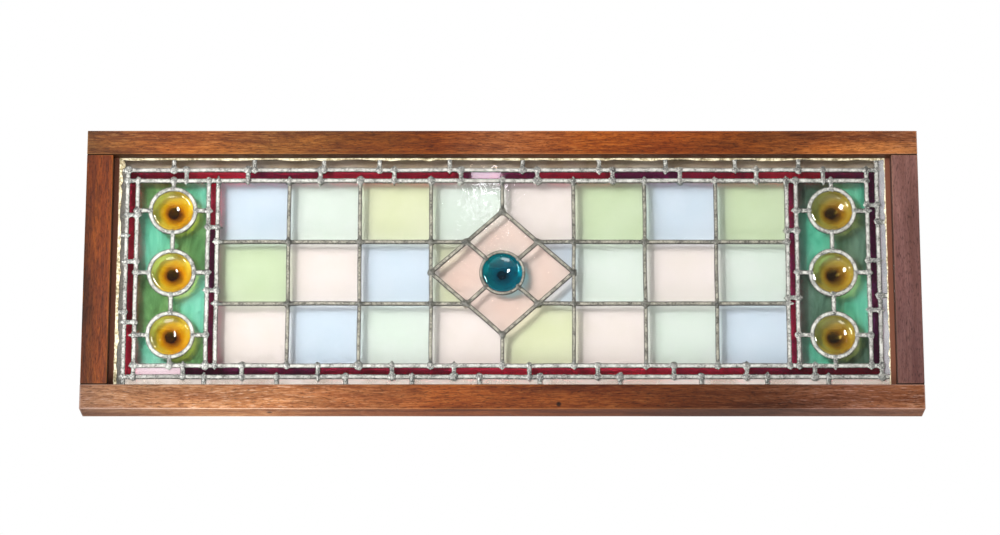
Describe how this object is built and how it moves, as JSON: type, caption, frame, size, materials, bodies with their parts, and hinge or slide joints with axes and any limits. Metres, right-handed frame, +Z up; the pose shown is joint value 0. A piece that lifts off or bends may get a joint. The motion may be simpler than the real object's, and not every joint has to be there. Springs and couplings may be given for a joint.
{
  "type": "stained glass window",
  "caption": "Long low leaded-light transom: pale checkered glass round a diamond with a teal jewel, amber roundels at both ends, ruby border, hardwood sash.",
  "frame": {"origin": "middle of the underside of the bottom rail, where the sash stands on a sill", "axes": "+X to the right along the width, -Y out of the front face, whose wooden lip stands before the glass, +Z up"},
  "size_m": [1.18, 0.045, 0.408],
  "materials": {
    "hardwood": "old varnish, satin, worn at the arrises",
    "putty": "dry linseed putty, matt and cracked",
    "lead": "oxidised lead came with a whitish bloom and dull solder joints",
    "clear_glass": "clear drawn glass",
    "ruby_glass": "deep ruby glass",
    "pink_glass": "pale pink glass, a later repair",
    "blue_glass": "pale blue cathedral glass, lightly rolled",
    "mint_glass": "pale mint cathedral glass, lightly rolled",
    "yellow_green_glass": "pale yellow-green cathedral glass, lightly rolled",
    "blush_glass": "pale blush cathedral glass, hammered in the diamond",
    "amber_glass": "pressed amber roundel with a dark boss",
    "jewel_teal_glass": "pressed teal roundel with a dark boss",
    "green_glass": "streaky green cathedral glass",
    "teal_glass": "streaky teal cathedral glass"
  },
  "bodies": {
    "root": {"top_rail": "hardwood", "bottom_rail": "hardwood", "left_stile": "hardwood", "right_stile": "hardwood", "glazing_putty": "putty", "lead_cames": "lead", "clear_border_strips": "clear_glass", "ruby_border_strips": "ruby_glass", "pink_border_strip": "pink_glass", "pane_top_1": "blue_glass", "pane_top_2": "mint_glass", "pane_top_3": "yellow_green_glass", "pane_top_4": "mint_glass", "pane_top_5": "blush_glass", "pane_top_6": "yellow_green_glass", "pane_top_7": "blue_glass", "pane_top_8": "yellow_green_glass", "pane_middle_1": "yellow_green_glass", "pane_middle_2": "blush_glass", "pane_middle_3": "blue_glass", "pane_middle_6": "mint_glass", "pane_middle_7": "blush_glass", "pane_middle_8": "mint_glass", "pane_bottom_1": "blush_glass", "pane_bottom_2": "blue_glass", "pane_bottom_3": "mint_glass", "pane_bottom_4": "blush_glass", "pane_bottom_5": "yellow_green_glass", "pane_bottom_6": "blush_glass", "pane_bottom_7": "mint_glass", "pane_bottom_8": "blue_glass", "diamond_top": "blush_glass", "diamond_right": "blush_glass", "diamond_bottom": "blush_glass", "diamond_left": "blush_glass", "corner_glass_left": "yellow_green_glass", "corner_glass_right": "blue_glass", "centre_jewel": "jewel_teal_glass", "roundel_left_top": "amber_glass", "roundel_left_middle": "amber_glass", "roundel_left_bottom": "amber_glass", "roundel_right_top": "amber_glass", "roundel_right_middle": "amber_glass", "roundel_right_bottom": "amber_glass", "side_left_1_left": "green_glass", "side_left_1_right": "teal_glass", "side_left_2_left": "teal_glass", "side_left_2_right": "green_glass", "side_left_3_left": "green_glass", "side_left_3_right": "teal_glass", "side_left_4_left": "teal_glass", "side_left_4_right": "green_glass", "side_right_1_left": "green_glass", "side_right_1_right": "teal_glass", "side_right_2_left": "teal_glass", "side_right_2_right": "green_glass", "side_right_3_left": "green_glass", "side_right_3_right": "teal_glass", "side_right_4_left": "teal_glass", "side_right_4_right": "green_glass"}
  },
  "joints": []
}
